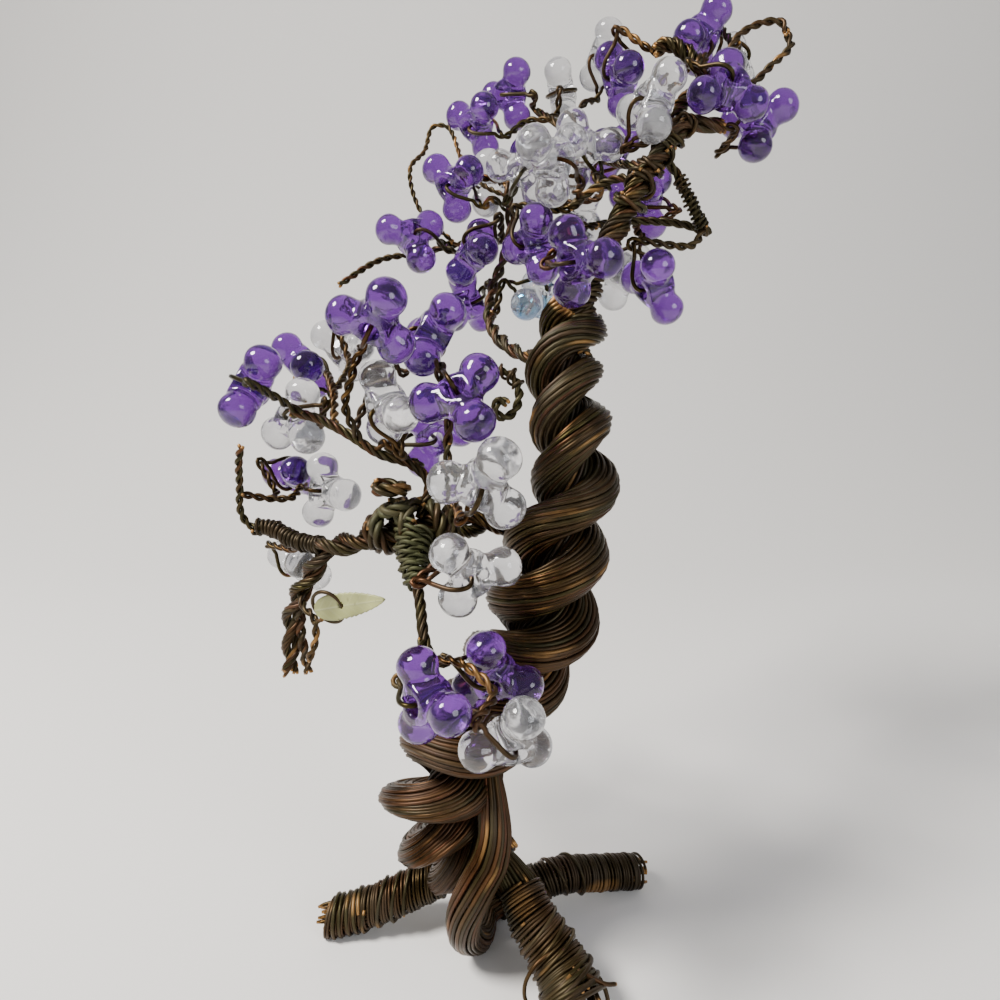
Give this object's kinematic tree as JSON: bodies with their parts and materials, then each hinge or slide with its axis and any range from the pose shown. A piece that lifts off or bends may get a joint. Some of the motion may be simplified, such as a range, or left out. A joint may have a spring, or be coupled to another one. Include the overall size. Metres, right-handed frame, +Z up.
{
  "type": "wire tree sculpture",
  "caption": "Small standing tree of twisted copper wire with a roped trunk, bound roots, wire twigs, three-lobed plastic beads held in wire loops, and a leaf charm.",
  "frame": {"origin": "on the ground, under the strand bundle that passes below the foot of the trunk", "axes": "+Z up, the front of the tree faces -Y, +X to the right seen from the front"},
  "size_m": [0.074, 0.0739, 0.1255],
  "materials": {
    "copper_wire": "brown patinated copper wire with worn bright edges",
    "purple_bead": "see-through purple, polished",
    "clear_bead": "clear, polished",
    "leaf": "pale green, speckled"
  },
  "bodies": {
    "root": {"trunk_bundle_a": "copper_wire", "trunk_bundle_b": "copper_wire", "root_left": "copper_wire", "root_right": "copper_wire", "root_front": "copper_wire", "bead_purple_low_left": "purple_bead", "bead_purple_low_middle": "purple_bead", "bead_clear_low": "clear_bead", "bead_clear_hook": "clear_bead", "bead_clear_front": "clear_bead", "bead_purple_upper_front": "purple_bead", "bead_purple_upper_back": "purple_bead", "bead_purple_centre": "purple_bead", "bead_purple_centre_back": "purple_bead", "bead_clear_centre_back": "clear_bead", "bead_purple_left": "purple_bead", "bead_clear_left": "clear_bead", "bead_purple_left_back": "purple_bead", "bead_clear_left_back": "clear_bead", "bead_purple_far_left": "purple_bead", "bead_clear_mid_left": "clear_bead", "bead_clear_limb_back": "clear_bead", "bead_purple_back_left": "purple_bead", "bead_purple_back_middle": "purple_bead", "bead_purple_back_low": "purple_bead", "bead_purple_high_left": "purple_bead", "bead_clear_high_left": "clear_bead", "bead_clear_high_middle": "clear_bead", "bead_purple_crown_left": "purple_bead", "bead_purple_crown_middle": "purple_bead", "bead_clear_pearly": "clear_bead", "bead_clear_crown": "clear_bead", "bead_purple_crown_right": "purple_bead", "bead_clear_crown_right": "clear_bead", "bead_purple_right": "purple_bead", "bead_purple_top_back_left": "purple_bead", "bead_purple_top_back_low": "purple_bead", "bead_purple_top_back": "purple_bead", "bead_clear_top_back": "clear_bead", "bead_clear_top_back_right": "clear_bead", "bead_clear_middle_back": "clear_bead", "bead_clear_middle_front": "clear_bead", "bead_purple_top": "purple_bead", "bead_purple_top_low": "purple_bead", "bead_clear_top_middle": "clear_bead", "bead_purple_top_right": "purple_bead", "bead_clear_top_right": "clear_bead", "bead_purple_right_high": "purple_bead", "bead_purple_far_right": "purple_bead", "crown_rope": "copper_wire", "crown_left_twig": "copper_wire", "crown_coil_twig": "copper_wire", "top_back_twig": "copper_wire", "back_rope": "copper_wire", "left_limb": "copper_wire", "upper_left_twig": "copper_wire", "middle_twig": "copper_wire", "lower_twig": "copper_wire", "leaf_charm": "leaf"}
  },
  "joints": []
}
